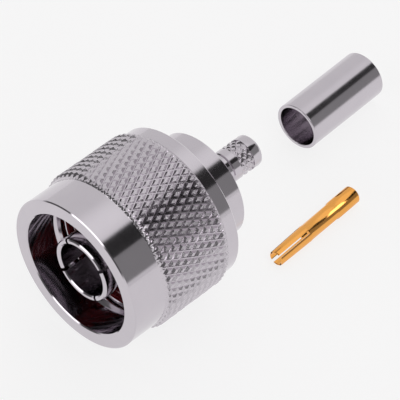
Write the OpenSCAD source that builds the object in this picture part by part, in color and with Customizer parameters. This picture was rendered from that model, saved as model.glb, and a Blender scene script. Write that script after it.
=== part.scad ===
// Crimp plug for thin coaxial cable, with a knurled coupling nut.
// The crimp ferrule and the centre contact lie loose beside the plug, as supplied.
// +X runs along the plug's axis from the mating end to the cable end, +Z is up.
// The origin is on the axis in the mating plane, at the tip of the outer contact.
// Millimetres.

/* [Coupling nut] */
// Length of the coupling nut
nut_length = 16.6; // [13.8:0.1:20]
// Nominal diameter of the coupling thread, 5/8 inch
thread_diameter = 15.88; // [13.2:0.01:19.1]
// Pitch of the coupling thread, 24 turns to the inch
thread_pitch = 1.058; // [0.8:0.001:1.3]
// Depth of the smooth mouth ahead of the thread
mouth_depth = 3.8; // [2:0.1:5]
// Wall of the nut outside its mouth
nut_wall = 1.93; // [1.2:0.01:4]
// Height of the knurled band above the plain bands
knurl_rise = 0.5; // [0.3:0.01:1]
// Width of one knurl diamond around the nut
knurl_width = 1.01; // [0.9:0.01:1.6]
// Length of one knurl diamond along the nut
knurl_length = 1.91; // [1.6:0.01:3]
// Depth of the knurl's grooves
knurl_depth = 0.36; // [0.2:0.01:0.4]
// Length of the ramp at each end of the knurl
knurl_ramp = 0.78; // [0.5:0.01:1]
// Plain band ahead of the knurl
front_band = 4.7; // [3:0.1:6]
// Plain band behind the knurl
rear_band = 1.75; // [1.2:0.05:3]
// How far the nut's rim stands ahead of the outer contact's tip
rim_lead = 0.94; // [0.3:0.01:1.5]

/* [Nut retention] */
// Length of the nut's rear lip, behind the snap ring
lip_length = 2.2; // [1.5:0.1:2.6]
// Thickness of the snap ring along the axis
ring_thickness = 0.9; // [0.6:0.05:1.2]
// Radial width of the snap ring
ring_width = 1.15; // [0.9:0.05:1.4]
// How far the snap ring stands out of the body into the nut
ring_bite = 0.5; // [0.3:0.05:0.7]
// Opening of the snap ring
ring_gap = 3.2; // [2:0.1:6]

/* [Body] */
// Length of the body inside the nut
body_in_nut = 5.5; // [5:0.1:7]
// Step from the thread's crests in to the body's outside
body_step = 0.55; // [0.4:0.05:1]
// Length of the collar that shows behind the nut
collar_length = 4.06; // [2.5:0.01:6]
// Outer diameter of the crimp stem
stem_diameter = 4.18; // [3.8:0.01:5.2]
// Length of the crimp stem
stem_length = 8.07; // [6.7:0.01:10]
// Bore of the crimp stem, for the cable's dielectric
cable_bore = 3; // [2.4:0.05:3.6]
// Plain length between the stem's rounded end and its knurl
stem_land = 1.05; // [0.4:0.05:1.5]
// Length of the stem's knurl
stem_knurl_band = 2.1; // [1:0.1:2.4]
// Width of one knurl diamond around the stem
stem_knurl_width = 1; // [0.8:0.05:1.4]
// Length of one knurl diamond along the stem
stem_knurl_length = 0.9; // [0.7:0.05:1.4]
// Depth of the stem's knurl
stem_knurl_depth = 0.14; // [0.05:0.01:0.2]
// Distance from the stem's knurl to the middle of the groove ahead of it
stem_groove_gap = 1.18; // [0.5:0.01:1.6]
// Width of the stem's groove
stem_groove_width = 0.26; // [0.15:0.01:0.6]
// Depth of the stem's groove
stem_groove_depth = 0.12; // [0.05:0.01:0.2]
// Radius on the stem's end
stem_round = 0.4; // [0.1:0.05:0.5]

/* [Outer contact] */
// Outer diameter of the outer contact
outer_contact_diameter = 8.3; // [7:0.05:10]
// Wall of the outer contact
outer_contact_wall = 0.65; // [0.4:0.05:0.8]
// Shoulder that holds the insulator, in from its pocket to the contact's bore
insulator_shoulder = 0.2; // [0.18:0.01:0.3]
// Number of spring fingers
finger_count = 4; // [2:1:6]
// Width of the slots between the fingers
finger_slot_width = 0.42; // [0.3:0.02:0.8]
// Length of the slots between the fingers
finger_slot_length = 5; // [3:0.1:5.4]
// Turn of the first slot from straight up, towards -Y
finger_slot_turn = 55; // [0:1:90]
// Step from the contact's outside up to the spigot that is pressed into the body
spigot_step = 0.45; // [0.2:0.05:0.6]
// Wall of the body between the spigot's seat and the snap ring's groove
spigot_seat_wall = 0.5; // [0.3:0.05:0.8]

/* [Gasket] */
// Thickness of the gasket
gasket_thickness = 1.6; // [1:0.1:2]

/* [Insulator] */
// Depth of the insulator's face behind the body's front
insulator_set = 0.24; // [0.1:0.02:0.5]
// How far the insulator reaches into the body
insulator_seat = 6.5; // [5.5:0.1:7.5]
// Depth behind the insulator's face of the seat for the contact's crimp barrel
barrel_seat_depth = 1.55; // [0.8:0.05:2.5]

/* [Centre contact] */
// Overall length of the centre contact
contact_length = 14.35; // [11.9:0.05:16]
// Wall of the fingers at their closed-in tips
finger_tip_wall = 0.2; // [0.18:0.01:0.3]
// Wall of the fingers where they begin
finger_root_wall = 0.32; // [0.2:0.01:0.4]
// Diameter of the plain middle
contact_middle_diameter = 2.18; // [2.1:0.02:2.3]
// Diameter of the crimp barrel
barrel_diameter = 2.38; // [2.34:0.02:2.8]
// Length of the crimp barrel
barrel_length = 3.8; // [3:0.05:4.6]
// Bore of the socket
socket_bore = 1.6; // [1.3:0.02:1.7]
// Depth of the socket
socket_depth = 6.2; // [5.5:0.05:7.2]
// Bore of the crimp barrel, for the cable's conductor
barrel_bore = 1; // [0.8:0.02:1.3]
// Depth of the crimp barrel's bore
barrel_bore_depth = 3.6; // [2:0.05:4.4]
// Width of the slots in the socket
socket_slot_width = 0.38; // [0.24:0.02:0.5]
// Length of the slots in the socket
socket_slot_length = 5.3; // [4:0.1:6]
// Turn of the slots from straight up, towards -Y
socket_slot_turn = 37; // [0:1:90]

/* [Crimp ferrule] */
// Length of the ferrule
ferrule_length = 12.83; // [10:0.01:16]
// Room between the stem and the ferrule for the cable's braid
braid_room = 0.59; // [0.4:0.01:0.9]
// Wall of the ferrule
ferrule_wall = 0.47; // [0.35:0.01:0.8]

/* [Where the loose pieces lie] */
// Gap along the axis from the stem's end to the ferrule
ferrule_gap = 12.09; // [2:0.01:20]
// Sideways place of the ferrule's near end
ferrule_side = 3.69; // [0:0.01:10]
// Heading of the ferrule from the plug's axis
ferrule_turn = 2.5; // [0:0.1:10]
// Gap along the axis from the collar to the centre contact's tip
contact_gap = 3.65; // [1:0.01:10]
// Sideways place of the centre contact's tip
contact_side = -8.66; // [-14:0.01:-5]
// Heading of the centre contact from the plug's axis
contact_turn = 3.35; // [0:0.05:10]

/* [Edges and clearances] */
// Small edge break on turned corners
edge_break = 0.13; // [0.05:0.01:0.2]
// Radial running clearance between the nut and the body
running_clearance = 0.08; // [0.04:0.01:0.1]
// Clearance of the snap ring in the nut's groove
ring_clearance = 0.1; // [0.05:0.01:0.15]
// Clearance of the snap ring in the body's groove
groove_clearance = 0.03; // [0.02:0.01:0.05]
// Radial clearance of pieces that are pushed together
push_clearance = 0.02; // [0.01:0.01:0.04]

/* [Hidden] */
$fn = 96;

// Axial places, from the mating plane
rim_x = -rim_lead;
nut_rear_x = nut_length - rim_lead;
body_front_x = nut_rear_x - body_in_nut;
step_x = body_front_x + 0.6;
ring_x = nut_rear_x - lip_length - ring_thickness;
ring_groove_x = ring_x - groove_clearance;
spigot_end_x = ring_groove_x - spigot_seat_wall - push_clearance;
insulator_face_x = body_front_x + insulator_set;
insulator_rear_x = body_front_x + insulator_seat;
barrel_seat_x = insulator_face_x + barrel_seat_depth;
collar_rear_x = nut_rear_x + collar_length;
stem_end_x = collar_rear_x + stem_length;

// Radii
mouth_r = thread_diameter / 2 + 0.06;
thread_crest_r = (thread_diameter - 0.92 * thread_pitch) / 2;
nut_r = mouth_r + nut_wall;
knurl_r = nut_r + knurl_rise;
body_r = thread_crest_r - body_step;
nut_bore_r = body_r + running_clearance;
ring_outer_r = body_r + ring_bite;
ring_inner_r = ring_outer_r - ring_width;
// The body's groove lets the ring close until the nut's bore slides over it
body_groove_r = ring_inner_r - ring_bite;
stem_r = stem_diameter / 2;
ferrule_bore_r = stem_r + braid_room;
outer_contact_r = outer_contact_diameter / 2;
contact_bore_r = outer_contact_r - outer_contact_wall;
insulator_pocket_r = contact_bore_r + insulator_shoulder;
finger_tip_r = socket_bore / 2 + finger_tip_wall;
finger_root_r = socket_bore / 2 + finger_root_wall;
contact_middle_r = contact_middle_diameter / 2;
barrel_r = barrel_diameter / 2;
spigot_r = outer_contact_r + spigot_step;

// The surface that everything lies on
floor_z = -knurl_r;
relief_length = 1.6;
overrun = 1;

// Points of a quarter turn about a centre, from angle a0 to a1 in degrees
function arc_points(centre, r, a0, a1, steps = 6) =
    [for (i = [0 : steps]) let (a = a0 + (a1 - a0) * i / steps)
        centre + r * [cos(a), sin(a)]];

// A solid of revolution about the X axis from an outline of [radius, x] points
module turned(outline) {
    rotate([0, 90, 0])
        rotate_extrude()
            polygon(outline);
}

// A solid barrel from x0 to x1 with a diamond knurl: crests between two crossed sets of grooves.
// Along each ring of points crests and groove crossings take turns, and the next ring is
// half a diamond on. Both ends ramp to end_r and run on into the plain work by bury.
module knurled_barrel(x0, x1, crest_r, depth, end_r, ramp, bury, width, length) {
    columns = 2 * round(2 * PI * crest_r / width);
    steps = round((x1 - x0 - 2 * ramp) / (length / 2));
    rise = (x1 - x0 - 2 * ramp) / steps;
    ring_places = concat([x0 - bury, x0], [for (j = [0 : steps]) x0 + ramp + j * rise],
                         [x1, x1 + bury]);
    last = len(ring_places) - 1;
    function ring_r(k, i) =
        k < 2 || k > last - 2 ? end_r : (i + k) % 2 == 0 ? crest_r : crest_r - depth;
    function at(k, i) = k * columns + i % columns;
    ring_points = [for (k = [0 : last]) for (i = [0 : columns - 1])
        let (a = i * 360 / columns, r = ring_r(k, i))
            [ring_places[k], r * sin(a), r * cos(a)]];
    // Each four-cornered cell is folded along its groove
    side_faces = [for (k = [0 : last - 1]) for (i = [0 : columns - 1]) for (half = [0, 1])
        (i + k) % 2 == 0
            ? half == 0 ? [at(k, i), at(k, i + 1), at(k + 1, i)]
                        : [at(k, i + 1), at(k + 1, i + 1), at(k + 1, i)]
            : half == 0 ? [at(k, i), at(k, i + 1), at(k + 1, i + 1)]
                        : [at(k, i), at(k + 1, i + 1), at(k + 1, i)]];
    front_face = [for (i = [columns - 1 : -1 : 0]) at(0, i)];
    rear_face = [for (i = [0 : columns - 1]) at(last, i)];
    polyhedron(ring_points, concat(side_faces, [front_face, rear_face]), 1);
}

// A straight cut from x0 to x1 that runs out from the axis, turned from up towards -Y
module axial_slot(x0, x1, width, reach, turn) {
    rotate([turn, 0, 0])
        translate([x0, -width / 2, 0])
            cube([x1 - x0, width, reach]);
}

module coupling_nut() {
    lead_in = mouth_r - thread_crest_r;
    knurl_front_x = rim_x + front_band;
    knurl_rear_x = nut_rear_x - rear_band;
    knurl_end_r = nut_r - 0.05;
    core_r = knurl_r - knurl_depth - 0.2;
    ring_pocket_r = ring_outer_r + ring_clearance;
    color("silver")
        difference() {
            union() {
                turned([[0, rim_x],
                        [nut_r - edge_break, rim_x],
                        [nut_r, rim_x + edge_break],
                        [nut_r, knurl_front_x],
                        [core_r, knurl_front_x],
                        [core_r, knurl_rear_x],
                        [nut_r, knurl_rear_x],
                        [nut_r, nut_rear_x - edge_break],
                        [nut_r - edge_break, nut_rear_x],
                        [0, nut_rear_x]]);
                knurled_barrel(knurl_front_x, knurl_rear_x, knurl_r, knurl_depth, knurl_end_r,
                               knurl_ramp, 0.3, knurl_width, knurl_length);
            }
            turned([[0, rim_x - overrun],
                    [mouth_r + edge_break + overrun, rim_x - overrun],
                    [mouth_r, rim_x + edge_break],
                    [mouth_r, rim_x + mouth_depth],
                    [thread_crest_r, rim_x + mouth_depth + lead_in],
                    [thread_crest_r, step_x - relief_length - lead_in],
                    [mouth_r, step_x - relief_length],
                    [mouth_r, step_x],
                    [nut_bore_r, step_x],
                    [nut_bore_r, ring_x - ring_clearance],
                    [ring_pocket_r, ring_x - ring_clearance],
                    [ring_pocket_r, ring_x + ring_thickness + ring_clearance],
                    [nut_bore_r, ring_x + ring_thickness + ring_clearance],
                    [nut_bore_r, nut_rear_x + overrun],
                    [0, nut_rear_x + overrun]]);
        }
}

module snap_ring() {
    color("darkgray")
        difference() {
            turned([[ring_inner_r, ring_x],
                    [ring_outer_r, ring_x],
                    [ring_outer_r, ring_x + ring_thickness],
                    [ring_inner_r, ring_x + ring_thickness]]);
            axial_slot(ring_x - overrun, ring_x + ring_thickness + overrun,
                       ring_gap, ring_outer_r + overrun, 180);
        }
}

module body() {
    ring_groove_rear_x = ring_x + ring_thickness + groove_clearance;
    spigot_bore_r = spigot_r + push_clearance;
    spigot_seat_x = spigot_end_x + push_clearance;
    knurl_rear_x = stem_end_x - stem_round - stem_land;
    knurl_front_x = knurl_rear_x - stem_knurl_band;
    stem_groove_x = knurl_front_x - stem_groove_gap;
    knurl_core_r = stem_r - stem_knurl_depth - 0.1;
    color("gainsboro")
        difference() {
            union() {
                turned(concat(
                    [[0, body_front_x],
                     [body_r - edge_break, body_front_x],
                     [body_r, body_front_x + edge_break],
                     [body_r, ring_groove_x],
                     [body_groove_r, ring_groove_x],
                     [body_groove_r, ring_groove_rear_x],
                     [body_r, ring_groove_rear_x],
                     [body_r, collar_rear_x - edge_break],
                     [body_r - edge_break, collar_rear_x],
                     [stem_r, collar_rear_x],
                     [stem_r, stem_groove_x - stem_groove_width / 2],
                     [stem_r - stem_groove_depth, stem_groove_x],
                     [stem_r, stem_groove_x + stem_groove_width / 2],
                     [stem_r, knurl_front_x],
                     [knurl_core_r, knurl_front_x],
                     [knurl_core_r, knurl_rear_x],
                     [stem_r, knurl_rear_x]],
                    arc_points([stem_r - stem_round, stem_end_x - stem_round], stem_round, 0, 90),
                    [[0, stem_end_x]]
                ));
                knurled_barrel(knurl_front_x, knurl_rear_x, stem_r, stem_knurl_depth,
                               stem_r - 0.03, 0.2, 0.2, stem_knurl_width, stem_knurl_length);
            }
            turned([[0, body_front_x - overrun],
                    [spigot_bore_r, body_front_x - overrun],
                    [spigot_bore_r, spigot_seat_x],
                    [insulator_pocket_r, spigot_seat_x],
                    [insulator_pocket_r, insulator_rear_x],
                    [cable_bore / 2, insulator_rear_x],
                    [cable_bore / 2, stem_end_x + overrun],
                    [0, stem_end_x + overrun]]);
        }
}

module outer_contact() {
    tip_chamfer = 0.15;
    color("lightgray")
        difference() {
            turned([[contact_bore_r + tip_chamfer, 0],
                    [outer_contact_r - tip_chamfer, 0],
                    [outer_contact_r, tip_chamfer],
                    [outer_contact_r, body_front_x],
                    [spigot_r, body_front_x],
                    [spigot_r, spigot_end_x],
                    [insulator_pocket_r, spigot_end_x],
                    [insulator_pocket_r, insulator_face_x],
                    [contact_bore_r, insulator_face_x],
                    [contact_bore_r, tip_chamfer]]);
            for (i = [0 : finger_count - 1])
                axial_slot(-overrun, finger_slot_length, finger_slot_width,
                           outer_contact_r + overrun,
                           finger_slot_turn + i * 360 / finger_count);
        }
}

module gasket() {
    gasket_bore_r = outer_contact_r + push_clearance;
    color("firebrick")
        turned([[gasket_bore_r, body_front_x - gasket_thickness],
                [body_r, body_front_x - gasket_thickness],
                [body_r, body_front_x],
                [gasket_bore_r, body_front_x]]);
}

module insulator() {
    contact_clearance = 0.05;
    sleeve_r = max(finger_root_r, contact_middle_r) + contact_clearance;
    pocket_r = barrel_r + contact_clearance;
    insulator_r = insulator_pocket_r - push_clearance;
    color("white")
        turned([[sleeve_r, insulator_face_x],
                [insulator_r - edge_break, insulator_face_x],
                [insulator_r, insulator_face_x + edge_break],
                [insulator_r, insulator_rear_x],
                [pocket_r, insulator_rear_x],
                [pocket_r, barrel_seat_x],
                [sleeve_r, barrel_seat_x]]);
}

// The contact, from its tip at the origin back along +X
module contact_turning() {
    barrel_front = contact_length - barrel_length;
    shoulder_length = 0.15;
    root_x = socket_slot_length + 0.2;
    tip_round = 0.12;
    mouth_chamfer = 0.05;
    reach = finger_root_r + overrun;
    difference() {
        turned(concat(
            [[socket_bore / 2, socket_depth],
             [socket_bore / 2, mouth_chamfer],
             [socket_bore / 2 + mouth_chamfer, 0]],
            arc_points([finger_tip_r - tip_round, tip_round], tip_round, -90, 0),
            [[finger_root_r, root_x],
             [contact_middle_r, root_x + shoulder_length],
             [contact_middle_r, barrel_front - shoulder_length],
             [barrel_r, barrel_front],
             [barrel_r, contact_length - shoulder_length],
             [barrel_r - shoulder_length, contact_length],
             [barrel_bore / 2, contact_length],
             [barrel_bore / 2, contact_length - barrel_bore_depth],
             [0, contact_length - barrel_bore_depth],
             [0, socket_depth]]
        ));
        for (i = [0 : 3])
            axial_slot(-overrun, socket_slot_length, socket_slot_width, reach,
                       socket_slot_turn + i * 90);
    }
}

module centre_contact() {
    color("goldenrod")
        translate([collar_rear_x + contact_gap, contact_side, floor_z + barrel_r])
            rotate([0, 0, contact_turn])
                contact_turning();
}

module crimp_ferrule() {
    outer_r = ferrule_bore_r + ferrule_wall;
    color("silver")
        translate([stem_end_x + ferrule_gap, ferrule_side, floor_z + outer_r])
            rotate([0, 0, ferrule_turn])
                turned([[ferrule_bore_r + edge_break, 0],
                        [outer_r - edge_break, 0],
                        [outer_r, edge_break],
                        [outer_r, ferrule_length - edge_break],
                        [outer_r - edge_break, ferrule_length],
                        [ferrule_bore_r + edge_break, ferrule_length],
                        [ferrule_bore_r, ferrule_length - edge_break],
                        [ferrule_bore_r, edge_break]]);
}

coupling_nut();
snap_ring();
body();
outer_contact();
gasket();
insulator();
centre_contact();
crimp_ferrule();
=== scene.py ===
"""Looks of a coaxial crimp plug, its loose crimp ferrule and its loose centre contact.

Every length is in millimetres until MM turns it to metres. +X runs along the plug's axis from
its mouth to its cable end and +Z is up. The origin is on the axis at the outer contact's tip.
"""

import math
import random

import bmesh
import bpy
from mathutils import Matrix, Vector


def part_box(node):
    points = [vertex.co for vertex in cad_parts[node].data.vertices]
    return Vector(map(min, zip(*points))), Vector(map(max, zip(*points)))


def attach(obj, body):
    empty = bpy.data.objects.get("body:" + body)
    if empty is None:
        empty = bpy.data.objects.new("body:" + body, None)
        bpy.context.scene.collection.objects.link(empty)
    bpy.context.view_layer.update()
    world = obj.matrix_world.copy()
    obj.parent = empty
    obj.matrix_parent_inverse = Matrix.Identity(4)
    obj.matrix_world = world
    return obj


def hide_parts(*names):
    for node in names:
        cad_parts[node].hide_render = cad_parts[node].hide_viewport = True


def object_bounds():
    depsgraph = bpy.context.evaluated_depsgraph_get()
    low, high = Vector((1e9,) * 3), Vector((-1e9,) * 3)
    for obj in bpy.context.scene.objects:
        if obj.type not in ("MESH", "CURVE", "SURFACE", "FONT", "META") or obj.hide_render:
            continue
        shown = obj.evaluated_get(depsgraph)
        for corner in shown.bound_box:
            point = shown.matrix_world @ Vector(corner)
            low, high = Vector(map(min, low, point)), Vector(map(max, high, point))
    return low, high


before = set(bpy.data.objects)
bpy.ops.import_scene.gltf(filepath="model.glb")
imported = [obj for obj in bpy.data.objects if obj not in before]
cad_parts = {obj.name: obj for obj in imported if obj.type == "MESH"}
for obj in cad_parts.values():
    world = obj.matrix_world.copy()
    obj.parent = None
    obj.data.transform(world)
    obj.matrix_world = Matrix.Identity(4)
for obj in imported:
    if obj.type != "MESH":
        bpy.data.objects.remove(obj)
cad_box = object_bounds()

MM = 0.001
FULL_TURN = 2 * math.pi
scene = bpy.context.scene


# ---------------------------------------------------------------- sizes


def cad_span(node):
    """Lowest and highest corner of a CAD node, in millimetres."""
    low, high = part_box(node)
    return low / MM, high / MM


nut_low, nut_high = cad_span("coupling_nut")
body_low, body_high = cad_span("body")
contact_low, contact_high = cad_span("outer_contact")
gasket_low, gasket_high = cad_span("gasket")
insulator_low, insulator_high = cad_span("insulator")
ring_low, ring_high = cad_span("snap_ring")
floor_z = cad_box[0].z / MM

# Coupling nut
NUT_R = 9.93
MOUTH_R = 8.0
NUT_BORE_R = 6.983
RING_POCKET_R = 7.503
RING_PLAY = 0.1
NUT_STEP_X = 10.76
NUT_KNURL_X = (3.76, 13.91)
NUT_KNURL_R = nut_high.z
NUT_KNURL_DEPTH = 0.34
NUT_KNURL_RAMP = 0.55
NUT_DIAMONDS = 65
NUT_DIAMOND_LENGTH = 1.91
NUT_FIRST_PIT_X = 4.6

# Coupling thread, 5/8 inch with 24 turns to the inch
THREAD_X = (2.86, 9.16)
THREAD_PITCH = 1.058
THREAD_CREST_R = 7.453
THREAD_LEAD = 1.0
THREAD_RUNOUT = 0.55

# Body
BODY_R = 6.903
COLLAR_REAR_X = 19.72
RING_GROOVE_R = 5.753
RING_GROOVE_PLAY = 0.03
SPIGOT_BORE = (4.62, contact_high.x + 0.02)
POCKET_BORE = (3.7, 16.66)
CABLE_BORE_R = 1.5
STEM_R = 2.09
STEM_END_X = body_high.x
STEM_GROOVE_X = 23.06
STEM_GROOVE = (0.13, 0.12)
STEM_KNURL_X = (24.24, 26.34)
STEM_KNURL_DEPTH = 0.14
STEM_KNURL_RAMP = 0.15
# Metal left out of the stem under its knurl, for the knurled ring
STEM_KNURL_BED = 0.1
STEM_DIAMONDS = 13
STEM_DIAMOND_LENGTH = 0.88
STEM_FIRST_PIT_X = 24.45
STEM_ROUND = 0.4

# Outer contact
OUTER_CONTACT_R = 4.15
OUTER_CONTACT_BORE_R = 3.5
SPIGOT_R = 4.6
FINGER_SLOT = (0.42, 5.0)
FINGER_SLOT_TURN = 55
FINGER_COUNT = 4

# Centre contact, from its tip back along its own axis
CONTACT_PLACE = (23.37, -8.66, -9.24)
CONTACT_HEADING = 3.35
CONTACT_LENGTH = 14.35
BARREL_R = 1.19
BARREL_LENGTH = 3.8
WIRE_BORE_R = 0.5
WIRE_BORE_DEPTH = 3.6
SOCKET_R = 0.8
SOCKET_DEPTH = 6.2
SOCKET_SLOT = (0.38, 5.3)
SOCKET_SLOT_TURN = 37

# Crimp ferrule, from its near end back along its own axis
FERRULE_PLACE = (39.88, 3.69, -7.28)
FERRULE_HEADING = 2.5
FERRULE_LENGTH = 12.83
FERRULE_R = 3.15
FERRULE_BORE_R = 2.68


# ---------------------------------------------------------------- camera

CAMERA_AIM = (21.25, 2.0, -5.4)
CAMERA_AZIMUTH = -45.1
CAMERA_ELEVATION = 45.95
CAMERA_DISTANCE = 334.5
CAMERA_LENS = 252
CAMERA_SENSOR = 36
# Nearest and farthest distance that the camera sees, in metres
CAMERA_CLIP = (0.01, 10)


def make_camera():
    """The camera looks down on the mouth of the nut from its near side, through a long lens."""
    data = bpy.data.cameras.new("camera")
    data.lens = CAMERA_LENS
    data.sensor_width = CAMERA_SENSOR
    data.clip_start, data.clip_end = CAMERA_CLIP
    camera = bpy.data.objects.new("camera", data)
    azimuth = math.radians(CAMERA_AZIMUTH)
    elevation = math.radians(CAMERA_ELEVATION)
    level = math.cos(elevation)
    back = Vector((math.sin(azimuth) * level, -math.cos(azimuth) * level, math.sin(elevation)))
    camera.location = (Vector(CAMERA_AIM) + back * CAMERA_DISTANCE) * MM
    camera.rotation_mode = "QUATERNION"
    camera.rotation_quaternion = (-back).to_track_quat("-Z", "Y")
    scene.collection.objects.link(camera)
    scene.camera = camera


make_camera()


# ---------------------------------------------------------------- shader nodes


# A Mix node's sockets share their names, so they are known by number: first those for colours
MIX_A = 6
MIX_B = 7
MIX_RESULT = 2
MIX_NUMBER_A = 2
MIX_NUMBER_B = 3


def colour(code):
    """An sRGB hex colour as the linear values that a shader takes."""
    parts = [int(code[i : i + 2], 16) / 255 for i in (1, 3, 5)]
    linear = [p / 12.92 if p <= 0.04045 else ((p + 0.055) / 1.055) ** 2.4 for p in parts]
    return (*linear, 1)


def add(tree, kind, sockets=None, **settings):
    """Adds a node with its settings, sets or links its inputs and returns it."""
    made = tree.nodes.new(kind)
    for key, value in settings.items():
        setattr(made, key, value)
    for key, value in (sockets or {}).items():
        if isinstance(value, bpy.types.NodeSocket):
            tree.links.new(value, made.inputs[key])
        else:
            made.inputs[key].default_value = value
    return made


def pattern_scale(size):
    """Scale of a noise whose features are about this many millimetres across."""
    return 1 / (size * MM)


def new_material(name):
    """An empty node material, its tree and its shader."""
    material = bpy.data.materials.new(name)
    material.use_nodes = True
    tree = material.node_tree
    tree.nodes.clear()
    shader = add(tree, "ShaderNodeBsdfPrincipled")
    add(tree, "ShaderNodeOutputMaterial", {"Surface": shader.outputs[0]})
    return material, tree, shader


def own_axes(tree, place=(0, 0, 0), heading=0):
    """Object coordinates along and around a piece's own axis."""
    coordinates = add(tree, "ShaderNodeTexCoord")
    mapping = add(
        tree,
        "ShaderNodeMapping",
        {
            "Vector": coordinates.outputs["Object"],
            "Location": [p * MM for p in place],
            "Rotation": (0, 0, math.radians(heading)),
        },
        vector_type="TEXTURE",
    )
    return mapping.outputs[0]


# ---------------------------------------------------------------- materials

# Plating thickness and polish drift over this size
DRIFT_SIZE = 2.4
# Least and greatest roughness that the drift gives, as shares of the surface's mean
GLOSS_DRIFT = (0.8, 1.25)
# Real feed marks are 0.05 mm apart, too fine to show, so they are drawn this coarse
TOOL_RING_WIDTH = 0.3
RING_STRETCH = 0.02
# Bump of those marks, in millimetres, on what is cut with a fine feed
FINE_RING_DEPTH = 0.0004
# Pits left by the knurling wheel, which crushes the brass instead of cutting it
PIT_SIZE = 0.16

NICKEL_LIGHT = "#CDC7CD"
NICKEL_DARK = "#C6C0C7"
GOLD_LIGHT = "#F4B060"
GOLD_DARK = "#EFA750"
BRONZE_LIGHT = "#B8AFA4"
BRONZE_DARK = "#A59C90"

SILICONE_LIGHT = "#A02226"
SILICONE_DARK = "#8E1A1E"
SILICONE_ROUGHNESS = 0.45
SILICONE_IOR = 1.41
SILICONE_MOTTLE_SIZE = 0.8
SILICONE_SKIN_DEPTH = 0.004

PTFE_LIGHT = "#F1F1EE"
PTFE_DARK = "#E6E6E2"
PTFE_ROUGHNESS = 0.4
PTFE_IOR = 1.35
PTFE_RING_DEPTH = 0.004
# Share of the light that travels inside before it comes out, and how far
PTFE_TRANSLUCENCE = 0.2
PTFE_LIGHT_REACH = 0.5


def tool_rings(tree, where):
    """The marks of a turning tool: a noise stretched round the axis, so it varies only along it."""
    along = add(
        tree, "ShaderNodeMapping", {"Vector": where, "Scale": (1, RING_STRETCH, RING_STRETCH)}
    )
    rings = add(
        tree,
        "ShaderNodeTexNoise",
        {"Vector": along.outputs[0], "Scale": pattern_scale(TOOL_RING_WIDTH), "Detail": 2},
    )
    return rings.outputs["Fac"]


def plated_metal(
    name,
    light,
    dark,
    roughness,
    ring_depth=FINE_RING_DEPTH,
    pit_depth=0,
    place=(0, 0, 0),
    heading=0,
):
    """Bright plating over metal, with bumps so many millimetres deep for tool rings and pits."""
    material, tree, shader = new_material(name)
    shader.inputs["Metallic"].default_value = 1
    where = own_axes(tree, place, heading)

    # Plating is slightly uneven, so its colour and gloss drift over a couple of millimetres
    drift = add(
        tree,
        "ShaderNodeTexNoise",
        {"Vector": where, "Scale": pattern_scale(DRIFT_SIZE), "Detail": 3},
    )
    tone = add(
        tree,
        "ShaderNodeMix",
        {"Factor": drift.outputs["Fac"], MIX_A: colour(dark), MIX_B: colour(light)},
        data_type="RGBA",
    )
    tree.links.new(tone.outputs[MIX_RESULT], shader.inputs["Base Color"])
    gloss = add(
        tree,
        "ShaderNodeMapRange",
        {
            "Value": drift.outputs["Fac"],
            "To Min": roughness * GLOSS_DRIFT[0],
            "To Max": roughness * GLOSS_DRIFT[1],
        },
    )
    tree.links.new(gloss.outputs[0], shader.inputs["Roughness"])

    relief = add(
        tree, "ShaderNodeBump", {"Height": tool_rings(tree, where), "Distance": ring_depth * MM}
    )
    if pit_depth:
        pits = add(
            tree,
            "ShaderNodeTexNoise",
            {"Vector": where, "Scale": pattern_scale(PIT_SIZE), "Detail": 2},
        )
        relief = add(
            tree,
            "ShaderNodeBump",
            {
                "Height": pits.outputs["Fac"],
                "Distance": pit_depth * MM,
                "Normal": relief.outputs[0],
            },
        )
    tree.links.new(relief.outputs[0], shader.inputs["Normal"])
    return material


def silicone():
    """Red silicone rubber, moulded: a dull, slightly soft sheen over an even colour."""
    material, tree, shader = new_material("moulded_red_silicone")
    mottle = add(
        tree,
        "ShaderNodeTexNoise",
        {"Vector": own_axes(tree), "Scale": pattern_scale(SILICONE_MOTTLE_SIZE), "Detail": 3},
    )
    tone = add(
        tree,
        "ShaderNodeMix",
        {
            "Factor": mottle.outputs["Fac"],
            MIX_A: colour(SILICONE_DARK),
            MIX_B: colour(SILICONE_LIGHT),
        },
        data_type="RGBA",
    )
    tree.links.new(tone.outputs[MIX_RESULT], shader.inputs["Base Color"])
    shader.inputs["Roughness"].default_value = SILICONE_ROUGHNESS
    shader.inputs["IOR"].default_value = SILICONE_IOR
    skin = add(
        tree,
        "ShaderNodeBump",
        {"Height": mottle.outputs["Fac"], "Distance": SILICONE_SKIN_DEPTH * MM},
    )
    tree.links.new(skin.outputs[0], shader.inputs["Normal"])
    return material


def fluoropolymer():
    """White PTFE, turned from rod: waxy, a little translucent, with faint tool rings."""
    material, tree, shader = new_material("turned_white_ptfe")
    rings = tool_rings(tree, own_axes(tree))
    tone = add(
        tree,
        "ShaderNodeMix",
        {"Factor": rings, MIX_A: colour(PTFE_DARK), MIX_B: colour(PTFE_LIGHT)},
        data_type="RGBA",
    )
    tree.links.new(tone.outputs[MIX_RESULT], shader.inputs["Base Color"])
    shader.inputs["Roughness"].default_value = PTFE_ROUGHNESS
    shader.inputs["IOR"].default_value = PTFE_IOR
    shader.inputs["Subsurface Weight"].default_value = PTFE_TRANSLUCENCE
    shader.inputs["Subsurface Radius"].default_value = [PTFE_LIGHT_REACH * MM] * 3
    relief = add(tree, "ShaderNodeBump", {"Height": rings, "Distance": PTFE_RING_DEPTH * MM})
    tree.links.new(relief.outputs[0], shader.inputs["Normal"])
    return material


# Bright nickel on turned brass: a near mirror with a faint cool grey cast
nickel = plated_metal("bright_nickel_on_brass", NICKEL_LIGHT, NICKEL_DARK, roughness=0.1)
# The same nickel in the knurl's grooves, which the wheel's teeth have burnished
groove_nickel = plated_metal(
    "bright_nickel_in_rolled_grooves", NICKEL_LIGHT, NICKEL_DARK, roughness=0.12, pit_depth=0.01
)
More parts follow.
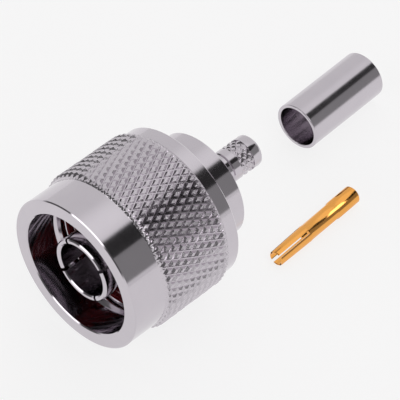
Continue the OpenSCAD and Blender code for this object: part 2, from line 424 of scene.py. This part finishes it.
# On the knurl's crests the crushed metal stays rough and pitted, so the nickel sparkles there
crest_nickel = plated_metal(
    "bright_nickel_on_crushed_crests", NICKEL_LIGHT, NICKEL_DARK, roughness=0.3, pit_depth=0.04
)
# The ferrule is drawn tube, softened for crimping, so its nickel is a little more satin
ferrule_nickel = plated_metal(
    "bright_nickel_on_drawn_tube",
    NICKEL_LIGHT,
    NICKEL_DARK,
    roughness=0.15,
    place=FERRULE_PLACE,
    heading=FERRULE_HEADING,
)
# Gold flash on turned bronze: deep orange in its own reflections
gold = plated_metal(
    "gold_plated_bronze",
    GOLD_LIGHT,
    GOLD_DARK,
    roughness=0.14,
    place=CONTACT_PLACE,
    heading=CONTACT_HEADING,
)
# The snap ring is rolled wire, satin under its thin plating
bronze = plated_metal(
    "plated_spring_bronze", BRONZE_LIGHT, BRONZE_DARK, roughness=0.3, ring_depth=0.001
)
red_silicone = silicone()
white_ptfe = fluoropolymer()


# ---------------------------------------------------------------- making pieces

TURNING_STEPS = 256
CORNER_STEPS = 3
SHARP_ANGLE = math.radians(35)
WELD = 1e-4 * MM


def wire(bm, outline, closed=True):
    """Joins [x, radius] points in the XZ plane into a wire and returns its vertices and edges."""
    corners = [bm.verts.new((x * MM, 0, r * MM)) for x, r in outline]
    ends = corners[1:] + corners[:1] if closed else corners[1:]
    edges = [bm.edges.new(pair) for pair in zip(corners, ends)]
    return corners, edges


def turn(bm, outline, soft=(), corner=0.05, steps=TURNING_STEPS, closed=True):
    """Turns an outline about the X axis. soft lists the points whose corners are rounded."""
    corners, edges = wire(bm, outline, closed)
    rounded = [corners[i] for i in soft]
    if rounded:
        bmesh.ops.bevel(
            bm,
            geom=rounded,
            offset=corner * MM,
            offset_type="OFFSET",
            segments=CORNER_STEPS,
            profile=0.5,
            affect="VERTICES",
            material=-1,
        )
    bmesh.ops.spin(
        bm,
        geom=bm.verts[:] + bm.edges[:],
        cent=(0, 0, 0),
        axis=(1, 0, 0),
        angle=FULL_TURN,
        steps=steps,
        use_merge=True,
    )


def weld(bm):
    """Merges doubles and points every face outwards."""
    bmesh.ops.remove_doubles(bm, verts=bm.verts, dist=WELD)
    bmesh.ops.dissolve_degenerate(bm, edges=bm.edges, dist=WELD)
    bmesh.ops.recalc_face_normals(bm, faces=bm.faces)


def place_on_axis(bm, place, heading):
    """Moves a piece made along the X axis to its own place and heading."""
    move = Matrix.Translation(Vector(place) * MM) @ Matrix.Rotation(math.radians(heading), 4, "Z")
    bmesh.ops.transform(bm, matrix=move, verts=bm.verts)


def finish(bm, name, body, materials, replaced=()):
    """Turns a bmesh into a finished piece that rides on a body and stands for CAD nodes."""
    for face in bm.faces:
        face.smooth = True
    for edge in bm.edges:
        edge.smooth = edge.calc_face_angle(0) < SHARP_ANGLE
    mesh = bpy.data.meshes.new(name)
    bm.to_mesh(mesh)
    bm.free()
    piece = bpy.data.objects.new(name, mesh)
    scene.collection.objects.link(piece)
    for material in materials:
        mesh.materials.append(material)
    # Broad faces keep their own direction, so that only the corners shade round
    shading = piece.modifiers.new("even_shading", "WEIGHTED_NORMAL")
    shading.keep_sharp = True
    shading.weight = 100
    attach(piece, body)
    if replaced:
        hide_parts(*replaced)
    return piece


# ---------------------------------------------------------------- knurls

# How far a diamond's top may lie below the highest, as a share of the knurl's depth
KNURL_UNEVEN = 0.12
# Width of the walls between a groove and a diamond's flat top
NUT_KNURL_WALL = 0.27
STEM_KNURL_WALL = 0.2
# Half the width of the rounded bottom of each groove
NUT_GROOVE_ROUND = 0.06
STEM_GROOVE_ROUND = 0.05
GROOVE_STEPS = 2
KNURL_RAMP_CUTS = 3
# How far the knurled rings reach into the plain work under them
NUT_KNURL_SEAT = 0.15
STEM_KNURL_SEAT = 0.05
# How far below the plain work's surface the knurl's ramps end
NUT_RAMP_SINK = 0.02
STEM_RAMP_SINK = 0.03


def set_radius(verts, radius):
    """Moves points straight out from the X axis, or in, to a radius."""
    for v in verts:
        reach = math.hypot(v.co.y, v.co.z)
        v.co.y *= radius * MM / reach
        v.co.z *= radius * MM / reach


def knurled_ring(
    bm,
    span,
    crest_r,
    depth,
    inner_r,
    end_r,
    around,
    length,
    first_pit,
    ramp,
    wall,
    groove_round,
    seed,
):
    """A closed ring with a diamond knurl outside.

    Each diamond has a flat top and sloping walls that go down to grooves with rounded bottoms.
    So many diamonds stand around, each as long as length, and their grooves cross at first_pit.
    Over the ramp at each end of the span the knurl slopes down to end_r.
    """
    chance = random.Random(seed)
    start = first_pit - length * math.ceil((first_pit - span[0]) / length)
    rows = math.ceil((span[1] - start) / length)
    bmesh.ops.create_grid(bm, x_segments=around, y_segments=rows, size=0.5)
    root_r = crest_r - depth
    for v in bm.verts:
        angle = (v.co.x + 0.5) * FULL_TURN
        x = start + (v.co.y + 0.5) * rows * length
        v.co = Vector((x, root_r * math.sin(angle), root_r * math.cos(angle))) * MM
    bmesh.ops.remove_doubles(bm, verts=bm.verts, dist=WELD)

    # Poked squares, joined in pairs across their old sides, make the diamonds
    sides = [e for e in bm.edges if not e.is_boundary]
    bmesh.ops.poke(bm, faces=bm.faces)
    bmesh.ops.dissolve_edges(bm, edges=sides, use_verts=False, use_face_split=False)
    set_radius(bm.verts, root_r)
    inset = bmesh.ops.inset_individual(
        bm, faces=bm.faces, thickness=wall * MM, depth=0, use_even_offset=True
    )
    walls = set(inset["faces"])
    tops = [f for f in bm.faces if f not in walls]
    for top in tops:
        top.material_index = 1
        set_radius(top.verts, crest_r - chance.uniform(0, KNURL_UNEVEN) * depth)
    top_edges = {e for top in tops for e in top.edges}
    groove_lines = [
        e
        for e in bm.edges
        if e not in top_edges
        and not e.is_boundary
        and all(abs(math.hypot(v.co.y, v.co.z) - root_r * MM) < WELD for v in e.verts)
    ]
    bmesh.ops.bevel(
        bm,
        geom=groove_lines,
        offset=groove_round * MM,
        offset_type="OFFSET",
        segments=GROOVE_STEPS,
        profile=0.5,
        affect="EDGES",
        material=-1,
    )

    # The ends are cut off square, and the ramp at each end takes the teeth down to the plain work
    for x, outward in ((span[0], -1), (span[1], 1)):
        for step in range(KNURL_RAMP_CUTS + 1):
            bmesh.ops.bisect_plane(
                bm,
                geom=bm.verts[:] + bm.edges[:] + bm.faces[:],
                plane_co=((x - outward * ramp * step / KNURL_RAMP_CUTS) * MM, 0, 0),
                plane_no=(outward, 0, 0),
                clear_outer=step == 0,
            )
        for v in bm.verts:
            run_in = (x - v.co.x / MM) * outward
            if run_in < ramp:
                limit = end_r + (crest_r - end_r) * max(0, run_in) / ramp
                set_radius([v], min(limit, math.hypot(v.co.y, v.co.z) / MM))
    rim = [e for e in bm.edges if e.is_boundary]
    pulled = bmesh.ops.extrude_edge_only(bm, edges=rim)["geom"]
    set_radius([g for g in pulled if isinstance(g, bmesh.types.BMVert)], inner_r)
    bmesh.ops.bridge_loops(bm, edges=[e for e in bm.edges if e.is_boundary])


# ---------------------------------------------------------------- slots


def cut_slots(bm, x_end, width, turn_degrees, count, steps, span_steps):
    """Cuts straight slots through a turned sleeve, from its tip to x_end, and closes their walls.

    The sleeve was turned in steps, and each slot takes span_steps of them.
    """
    step = FULL_TURN / steps
    half = span_steps * step / 2
    for i in range(count):
        middle = FULL_TURN * i / count + half
        doomed = []
        for f in bm.faces:
            c = f.calc_center_median()
            angle = math.atan2(-c.y, c.z)
            off = (angle - middle + math.pi) % FULL_TURN - math.pi
            if abs(off) < half and c.x < x_end * MM:
                doomed.append(f)
        bmesh.ops.delete(bm, geom=doomed, context="FACES")
        rim = [e for e in bm.edges if e.is_boundary]
        ends = [e for e in rim if all(abs(v.co.x - x_end * MM) < WELD for v in e.verts)]
        bmesh.ops.bridge_loops(bm, edges=ends)
        # The walls are made parallel: each of their points moves to half the slot's width
        out = Vector((0, -math.sin(middle), math.cos(middle)))
        side = Vector((0, -math.cos(middle), -math.sin(middle)))
        for v in {v for e in rim for v in e.verts}:
            off = math.atan2(v.co.dot(side), v.co.dot(out))
            if abs(abs(off) - half) < step / 4:
                reach = math.hypot(v.co.y, v.co.z)
                aside = math.copysign(width / 2 * MM, off)
                v.co = Vector((v.co.x, 0, 0)) + side * aside + out * math.sqrt(reach**2 - aside**2)
        bmesh.ops.holes_fill(bm, edges=[e for e in bm.edges if e.is_boundary], sides=0)
    turn_all = Matrix.Rotation(math.radians(turn_degrees) - half, 4, "X")
    bmesh.ops.transform(bm, matrix=turn_all, verts=bm.verts)


# ---------------------------------------------------------------- coupling nut

CHAMFER = 0.13
THREAD_ROOT_FLAT = 0.12
THREAD_FLANK = (MOUTH_R - THREAD_CREST_R) * math.tan(math.radians(30))
# Places along one pitch, in millimetres from the middle of a crest, where the profile turns
THREAD_ROWS_TO_ROOT = (
    0,
    THREAD_PITCH / 2 - THREAD_ROOT_FLAT / 2 - THREAD_FLANK,
    THREAD_PITCH / 2 - THREAD_ROOT_FLAT / 2 - THREAD_FLANK / 2,
    THREAD_PITCH / 2 - THREAD_ROOT_FLAT / 2,
)
THREAD_ROWS = (
    *THREAD_ROWS_TO_ROOT,
    THREAD_PITCH / 2,
    *(THREAD_PITCH - row for row in reversed(THREAD_ROWS_TO_ROOT[1:])),
)


def thread_radius(x, along_pitch):
    """Radius of the nut's bore at x, this far along a pitch from the middle of a crest."""
    height = MOUTH_R - THREAD_CREST_R
    from_root = abs(along_pitch - THREAD_PITCH / 2) - THREAD_ROOT_FLAT / 2
    rise = min(1, max(0, from_root / THREAD_FLANK))
    lead = 1 - (x - THREAD_X[0]) / THREAD_LEAD
    runout = 1 - (THREAD_X[1] - x) / THREAD_RUNOUT
    cone = max(0, lead, runout)
    return MOUTH_R - height * min(rise, 1 - cone)


def add_thread(bm):
    """The threaded bore: a grid whose rows climb one pitch as they go round."""
    x0, x1 = THREAD_X
    turns = math.ceil((x1 - x0) / THREAD_PITCH) + 1
    rows = turns * len(THREAD_ROWS)
    grid = bmesh.ops.create_grid(bm, x_segments=TURNING_STEPS, y_segments=rows, size=0.5)
    for v in grid["verts"]:
        share = v.co.x + 0.5
        row = round((v.co.y + 0.5) * rows)
        along_pitch = THREAD_ROWS[row % len(THREAD_ROWS)]
        place = x0 + (row // len(THREAD_ROWS) - 1 + share) * THREAD_PITCH + along_pitch
        x = min(x1, max(x0, place))
        r = thread_radius(x, along_pitch)
        angle = share * FULL_TURN
        v.co = Vector((x, -r * math.sin(angle), r * math.cos(angle))) * MM


def make_coupling_nut():
    """Nut with a smooth mouth, a threaded bore and a pocket for its snap ring."""
    front, rear = nut_low.x, nut_high.x
    pocket_front = ring_low.x - RING_PLAY
    pocket_rear = ring_high.x + RING_PLAY
    bm = bmesh.new()
    outline = [
        (THREAD_X[1], MOUTH_R),
        (NUT_STEP_X, MOUTH_R),
        (NUT_STEP_X, NUT_BORE_R),
        (pocket_front, NUT_BORE_R),
        (pocket_front, RING_POCKET_R),
        (pocket_rear, RING_POCKET_R),
        (pocket_rear, NUT_BORE_R),
        (rear, NUT_BORE_R),
        (rear, NUT_R - CHAMFER),
        (rear - CHAMFER, NUT_R),
        (front + CHAMFER, NUT_R),
        (front, NUT_R - CHAMFER),
        (front, MOUTH_R + CHAMFER),
        (front + CHAMFER, MOUTH_R),
        (THREAD_X[0], MOUTH_R),
    ]
    turn(bm, outline, closed=False)
    add_thread(bm)
    weld(bm)
    finish(bm, "nut", "nut", [nickel], ["coupling_nut"])

    bm = bmesh.new()
    knurled_ring(
        bm,
        span=NUT_KNURL_X,
        crest_r=NUT_KNURL_R,
        depth=NUT_KNURL_DEPTH,
        inner_r=NUT_R - NUT_KNURL_SEAT,
        end_r=NUT_R - NUT_RAMP_SINK,
        around=NUT_DIAMONDS,
        length=NUT_DIAMOND_LENGTH,
        first_pit=NUT_FIRST_PIT_X,
        ramp=NUT_KNURL_RAMP,
        wall=NUT_KNURL_WALL,
        groove_round=NUT_GROOVE_ROUND,
        seed=11,
    )
    finish(bm, "nut_knurl", "nut", [groove_nickel, crest_nickel])


make_coupling_nut()


# ---------------------------------------------------------------- body


def make_body():
    """Body: the part inside the nut, the collar behind it and the crimp stem."""
    front = body_low.x
    groove_front = ring_low.x - RING_GROOVE_PLAY
    groove_rear = ring_high.x + RING_GROOVE_PLAY
    core_r = STEM_R - STEM_KNURL_DEPTH - STEM_KNURL_BED
    bm = bmesh.new()
    outline = [
        (front, SPIGOT_BORE[0]),
        (front, BODY_R - CHAMFER),
        (front + CHAMFER, BODY_R),
        (groove_front, BODY_R),
        (groove_front, RING_GROOVE_R),
        (groove_rear, RING_GROOVE_R),
        (groove_rear, BODY_R),
        (COLLAR_REAR_X - CHAMFER, BODY_R),
        (COLLAR_REAR_X, BODY_R - CHAMFER),
        (COLLAR_REAR_X, STEM_R),
        (STEM_GROOVE_X - STEM_GROOVE[0], STEM_R),
        (STEM_GROOVE_X, STEM_R - STEM_GROOVE[1]),
        (STEM_GROOVE_X + STEM_GROOVE[0], STEM_R),
        (STEM_KNURL_X[0], STEM_R),
        (STEM_KNURL_X[0], core_r),
        (STEM_KNURL_X[1], core_r),
        (STEM_KNURL_X[1], STEM_R),
        (STEM_END_X, STEM_R),
        (STEM_END_X, CABLE_BORE_R),
        (POCKET_BORE[1], CABLE_BORE_R),
        (POCKET_BORE[1], POCKET_BORE[0]),
        (SPIGOT_BORE[1], POCKET_BORE[0]),
        (SPIGOT_BORE[1], SPIGOT_BORE[0]),
    ]
    turn(bm, outline, soft=[outline.index((STEM_END_X, STEM_R))], corner=STEM_ROUND)
    weld(bm)
    finish(bm, "body", "root", [nickel], ["body"])

    bm = bmesh.new()
    knurled_ring(
        bm,
        span=STEM_KNURL_X,
        crest_r=STEM_R,
        depth=STEM_KNURL_DEPTH,
        inner_r=core_r - STEM_KNURL_SEAT,
        end_r=STEM_R - STEM_RAMP_SINK,
        around=STEM_DIAMONDS,
        length=STEM_DIAMOND_LENGTH,
        first_pit=STEM_FIRST_PIT_X,
        ramp=STEM_KNURL_RAMP,
        wall=STEM_KNURL_WALL,
        groove_round=STEM_GROOVE_ROUND,
        seed=5,
    )
    finish(bm, "stem_knurl", "root", [groove_nickel, crest_nickel])


make_body()


# ---------------------------------------------------------------- outer contact and seals

SLEEVE_STEPS = 228
SLEEVE_SLOT_STEPS = 4
GASKET_FIT = 0.02
GASKET_ROUND = 0.12
# Section of the snap ring's wire, and half the opening between its ends
RING_WIRE = 1.15
RING_HALF_OPENING = 1.6
RING_STEPS = 96


def make_outer_contact():
    """Slotted sleeve with four spring fingers on a spigot."""
    tip = 0.15
    bm = bmesh.new()
    outline = [
        (contact_low.x, OUTER_CONTACT_BORE_R + tip),
        (contact_low.x, OUTER_CONTACT_R - tip),
        (contact_low.x + tip, OUTER_CONTACT_R),
        (FINGER_SLOT[1], OUTER_CONTACT_R),
        (body_low.x, OUTER_CONTACT_R),
        (body_low.x, SPIGOT_R),
        (contact_high.x, SPIGOT_R),
        (contact_high.x, POCKET_BORE[0]),
        (insulator_low.x, POCKET_BORE[0]),
        (insulator_low.x, OUTER_CONTACT_BORE_R),
        (FINGER_SLOT[1], OUTER_CONTACT_BORE_R),
        (contact_low.x + tip, OUTER_CONTACT_BORE_R),
    ]
    turn(bm, outline, steps=SLEEVE_STEPS)
    weld(bm)
    cut_slots(
        bm,
        FINGER_SLOT[1],
        FINGER_SLOT[0],
        FINGER_SLOT_TURN,
        FINGER_COUNT,
        SLEEVE_STEPS,
        SLEEVE_SLOT_STEPS,
    )
    weld(bm)
    finish(bm, "outer_contact_sleeve", "root", [nickel], ["outer_contact"])


def make_gasket():
    """Red ring against the body's front face."""
    inner_r = OUTER_CONTACT_R + GASKET_FIT
    bm = bmesh.new()
    outline = [
        (gasket_low.x, inner_r),
        (gasket_low.x, BODY_R),
        (gasket_high.x, BODY_R),
        (gasket_high.x, inner_r),
    ]
    turn(bm, outline, soft=[0, 1], corner=GASKET_ROUND)
    weld(bm)
    finish(bm, "sealing_ring", "root", [red_silicone], ["gasket"])


def make_insulator():
    """Bush with a stepped passage for the centre contact."""
    sleeve_r, pocket_r = 1.17, 1.24
    outer_r = insulator_high.z
    step_x = 11.95
    bm = bmesh.new()
    outline = [
        (insulator_low.x, sleeve_r),
        (insulator_low.x, outer_r),
        (insulator_high.x, outer_r),
        (insulator_high.x, pocket_r),
        (step_x, pocket_r),
        (step_x, sleeve_r),
    ]
    turn(bm, outline, soft=[0, 1], corner=CHAMFER)
    weld(bm)
    finish(bm, "insulator_bush", "root", [white_ptfe], ["insulator"])


def make_snap_ring():
    """Split ring of square wire, its opening downwards."""
    outer_r = ring_high.z
    inner_r = outer_r - RING_WIRE
    half_gap = math.asin(RING_HALF_OPENING / outer_r)
    bm = bmesh.new()
    outline = [
        (ring_low.x, inner_r),
        (ring_low.x, outer_r),
        (ring_high.x, outer_r),
        (ring_high.x, inner_r),
    ]
    _, edges = wire(bm, outline)
    face = bmesh.ops.contextual_create(bm, geom=edges)["faces"][0]
    start = Matrix.Rotation(math.pi + half_gap, 4, "X")
    bmesh.ops.transform(bm, matrix=start, verts=bm.verts)
    bmesh.ops.spin(
        bm,
        geom=[face, *face.edges, *face.verts],
        cent=(0, 0, 0),
        axis=(1, 0, 0),
        angle=FULL_TURN - 2 * half_gap,
        steps=RING_STEPS,
    )
    weld(bm)
    finish(bm, "retaining_ring", "root", [bronze], ["snap_ring"])


make_outer_contact()
make_gasket()
make_insulator()
make_snap_ring()


# ---------------------------------------------------------------- loose pieces

SOCKET_STEPS = 128
SOCKET_SLOT_STEPS = 8
SOCKET_SLOT_COUNT = 4


def make_centre_contact():
    """Slotted socket at the near end, plain middle and crimp barrel, turned from one rod."""
    tip_r, root_r, middle_r = 1.0, 1.12, 1.09
    lip = 0.05
    slot_end = SOCKET_SLOT[1]
    root_x = slot_end + 0.2
    shoulder = 0.15
    round_r = 0.12
    barrel_x = CONTACT_LENGTH - BARREL_LENGTH
    bore_r, bore_x = WIRE_BORE_R, CONTACT_LENGTH - WIRE_BORE_DEPTH
    at_slot_end_r = tip_r + (root_r - tip_r) * (slot_end - round_r) / (root_x - round_r)
    bm = bmesh.new()
    outline = [
        (0, SOCKET_R + lip),
        (0, tip_r),
        (slot_end, at_slot_end_r),
        (root_x, root_r),
        (root_x + shoulder, middle_r),
        (barrel_x - shoulder, middle_r),
        (barrel_x, BARREL_R),
        (CONTACT_LENGTH - shoulder, BARREL_R),
        (CONTACT_LENGTH, BARREL_R - shoulder),
        (CONTACT_LENGTH, bore_r),
        (bore_x, bore_r),
        (bore_x, 0),
        (SOCKET_DEPTH, 0),
        (SOCKET_DEPTH, SOCKET_R),
        (slot_end, SOCKET_R),
        (lip, SOCKET_R),
    ]
    turn(bm, outline, soft=[1], corner=round_r, steps=SOCKET_STEPS)
    weld(bm)
    cut_slots(
        bm,
        slot_end,
        SOCKET_SLOT[0],
        SOCKET_SLOT_TURN,
        SOCKET_SLOT_COUNT,
        SOCKET_STEPS,
        SOCKET_SLOT_STEPS,
    )
    place_on_axis(bm, CONTACT_PLACE, CONTACT_HEADING)
    weld(bm)
    contact = finish(bm, "contact_pin", "root", [gold], ["centre_contact"])
    # The plating elsewhere stays clean nickel, without an orange streak from this piece
    contact.visible_glossy = False


def make_crimp_ferrule():
    """Thin open tube with softened rims."""
    bm = bmesh.new()
    outline = [
        (0, FERRULE_BORE_R),
        (0, FERRULE_R),
        (FERRULE_LENGTH, FERRULE_R),
        (FERRULE_LENGTH, FERRULE_BORE_R),
    ]
    turn(bm, outline, soft=[0, 1, 2, 3], corner=CHAMFER)
    place_on_axis(bm, FERRULE_PLACE, FERRULE_HEADING)
    weld(bm)
    finish(bm, "ferrule", "root", [ferrule_nickel], ["crimp_ferrule"])


make_centre_contact()
make_crimp_ferrule()


# ---------------------------------------------------------------- studio

# Radius of the table top, in metres
FLOOR_R = 2.0
FLOOR_STEPS = 96
# Share of the floor's look that is plain white, so that its shadows stay soft and light
FLOOR_WHITE = 0.8


def make_floor():
    """A plain white table top, whose shadow under the pieces stays."""
    bm = bmesh.new()
    bmesh.ops.create_circle(bm, cap_ends=True, segments=FLOOR_STEPS, radius=FLOOR_R)
    bmesh.ops.translate(bm, vec=(0, 0, floor_z * MM), verts=bm.verts)
    mesh = bpy.data.meshes.new("table_top")
    bm.to_mesh(mesh)
    bm.free()
    table_top = bpy.data.objects.new("table_top", mesh)
    scene.collection.objects.link(table_top)
    material = bpy.data.materials.new("white_laminate")
    material.use_nodes = True
    tree = material.node_tree
    tree.nodes.clear()
    matt = add(tree, "ShaderNodeBsdfDiffuse", {"Color": colour("#F4F2F3")})
    plain = add(tree, "ShaderNodeEmission", {"Color": colour("#FFFFFF")})
    path = add(tree, "ShaderNodeLightPath")
    either = add(
        tree,
        "ShaderNodeMath",
        {0: path.outputs["Is Camera Ray"], 1: path.outputs["Is Glossy Ray"]},
        operation="MAXIMUM",
    )
    seen = add(
        tree,
        "ShaderNodeMath",
        {0: either.outputs[0], 1: path.outputs["Is Transmission Ray"]},
        operation="MAXIMUM",
    )
    share = add(tree, "ShaderNodeMath", {0: seen.outputs[0], 1: FLOOR_WHITE}, operation="MULTIPLY")
    mixed = add(
        tree,
        "ShaderNodeMixShader",
        {0: share.outputs[0], 1: matt.outputs[0], 2: plain.outputs[0]},
    )
    add(tree, "ShaderNodeOutputMaterial", {"Surface": mixed.outputs[0]})
    mesh.materials.append(material)


# The room round the table: each card or panel is a soft-edged patch of sky, with its bearing
# from +X towards +Y, its elevation, half its size both ways, the width of its soft edges, all
# in degrees, and its brightness
ROOM_BRIGHTNESS = 0.8
ROOM_PATCHES = (
    ("bright_ceiling", (0, 70), (74, 18), (30, 16), 1.02),
    ("grey_wall", (-52, 40), (21, 16), (8, 2), 0.28),
    ("black_card", (-42, 25), (46.5, 9.5), (8, 3), 0.03),
    ("key_light", (-80, 14), (54, 13), (3, 3), 3.2),
    ("dark_side", (168, 60), (40, 38), (14, 8), 0.12),
    ("window", (167, 24), (29, 7), (3, 3), 2.2),
)


def make_room():
    """A pale room whose cards, lights and dark corner the bright metal reflects."""
    world = bpy.data.worlds.new("room")
    scene.world = world
    world.use_nodes = True
    tree = world.node_tree
    tree.nodes.clear()
    direction = add(tree, "ShaderNodeTexCoord")
    parts = add(tree, "ShaderNodeSeparateXYZ", {0: direction.outputs["Generated"]})
    bearing = add(
        tree, "ShaderNodeMath", {0: parts.outputs["Y"], 1: parts.outputs["X"]}, operation="ARCTAN2"
    )
    elevation = add(tree, "ShaderNodeMath", {0: parts.outputs["Z"]}, operation="ARCSINE")
    level = ROOM_BRIGHTNESS
    for name, bearings, elevations, soft, brightness in ROOM_PATCHES:
        cover = None
        for angle, (middle, half), edge in (
            (bearing, bearings, soft[0]),
            (elevation, elevations, soft[1]),
        ):
            off = add(
                tree,
                "ShaderNodeMath",
                {0: angle.outputs[0], 1: math.radians(middle)},
                operation="SUBTRACT",
            )
            wrapped = add(
                tree,
                "ShaderNodeMath",
                {0: off.outputs[0], 1: -math.pi, 2: math.pi},
                operation="WRAP",
            )
            away = add(tree, "ShaderNodeMath", {0: wrapped.outputs[0]}, operation="ABSOLUTE")
            inside = add(
                tree,
                "ShaderNodeMapRange",
                {
                    "Value": away.outputs[0],
                    "From Min": math.radians(half + edge / 2),
                    "From Max": math.radians(half - edge / 2),
                },
                interpolation_type="SMOOTHSTEP",
            )
            if cover is None:
                cover = inside
            else:
                cover = add(
                    tree,
                    "ShaderNodeMath",
                    {0: cover.outputs[0], 1: inside.outputs[0]},
                    operation="MULTIPLY",
                )
        mixed = add(
            tree,
            "ShaderNodeMix",
            {0: cover.outputs[0], MIX_NUMBER_A: level, MIX_NUMBER_B: brightness},
            label=name,
        )
        level = mixed.outputs[0]
    room = add(tree, "ShaderNodeBackground", {"Color": (1, 1, 1, 1), "Strength": level})
    white = add(tree, "ShaderNodeBackground", {"Color": (1, 1, 1, 1), "Strength": 1})
    path = add(tree, "ShaderNodeLightPath")
    seen = add(
        tree,
        "ShaderNodeMixShader",
        {0: path.outputs["Is Camera Ray"], 1: room.outputs[0], 2: white.outputs[0]},
    )
    add(tree, "ShaderNodeOutputWorld", {"Surface": seen.outputs[0]})


make_floor()
make_room()
scene.view_settings.view_transform = "Standard"
